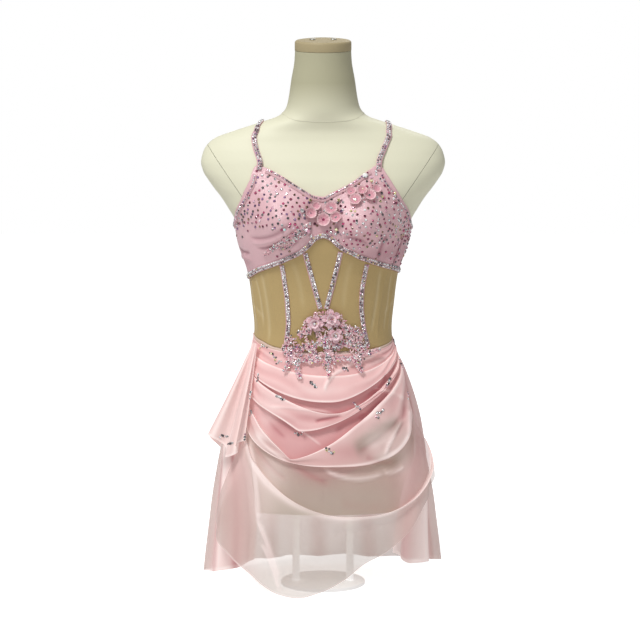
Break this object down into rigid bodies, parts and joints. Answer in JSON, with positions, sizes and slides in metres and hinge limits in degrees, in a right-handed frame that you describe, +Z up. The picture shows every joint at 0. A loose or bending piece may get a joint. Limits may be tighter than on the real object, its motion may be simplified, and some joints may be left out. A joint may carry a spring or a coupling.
{
  "type": "lyrical dance dress on a limbless dress form",
  "caption": "Stoned strappy bodice, nude mesh midriff and draped sheer skirt over trunks, worn by a limbless dress form on a round foot plate.",
  "frame": {"origin": "middle of the underside of the form's foot plate, on the floor", "axes": "+Z up, the wearer's front faces -Y, the wearer's left arm is towards +X"},
  "size_m": [0.3994, 0.3132, 0.9049],
  "materials": {
    "form_shell": "matt cream shell with a faint cast texture",
    "stand": "smooth pale paint",
    "screws": "dull",
    "bodice_satin": "pink stretch knit with a low satin sheen",
    "power_mesh": "nude stretch net, matt",
    "trunks_knit": "matt stretch knit",
    "sheer_mesh": "fine sheer stretch net, soft",
    "lace": "corded lace with sequins",
    "stone_trim": "pink binding under rows of stones",
    "rhinestone": "faceted and foiled"
  },
  "bodies": {
    "root": {"form_torso": "form_shell", "form_arm_plate_left": "form_shell", "form_arm_plate_right": "form_shell", "form_neck_cap": "form_shell", "form_cap_screw_left": "screws", "form_cap_screw_right": "screws", "form_foot_plate": "stand", "form_rod_left": "stand", "form_rod_right": "stand", "bodice_front": "bodice_satin", "bodice_back": "bodice_satin", "midriff_front": "power_mesh", "midriff_back": "power_mesh", "trunks_front": "trunks_knit", "trunks_back": "trunks_knit", "trunks_gusset": "trunks_knit", "underbust_trim": "stone_trim", "neckline_trim": "stone_trim", "armhole_trim_left": "stone_trim", "armhole_trim_right": "stone_trim", "midriff_band_outer_left": "stone_trim", "midriff_band_inner_left": "stone_trim", "midriff_band_inner_right": "stone_trim", "midriff_band_outer_right": "stone_trim", "shoulder_strap_left": "stone_trim", "shoulder_strap_right": "stone_trim", "skirt_front_drape": "sheer_mesh", "skirt_back": "sheer_mesh", "side_cascade": "sheer_mesh", "waist_lace": "lace", "bodice_lace_left": "lace", "bodice_flowers_centre": "lace", "bodice_flowers_right": "lace", "waist_flower_left": "lace", "waist_flower_top": "lace", "waist_flower_right": "lace"}
  },
  "joints": []
}
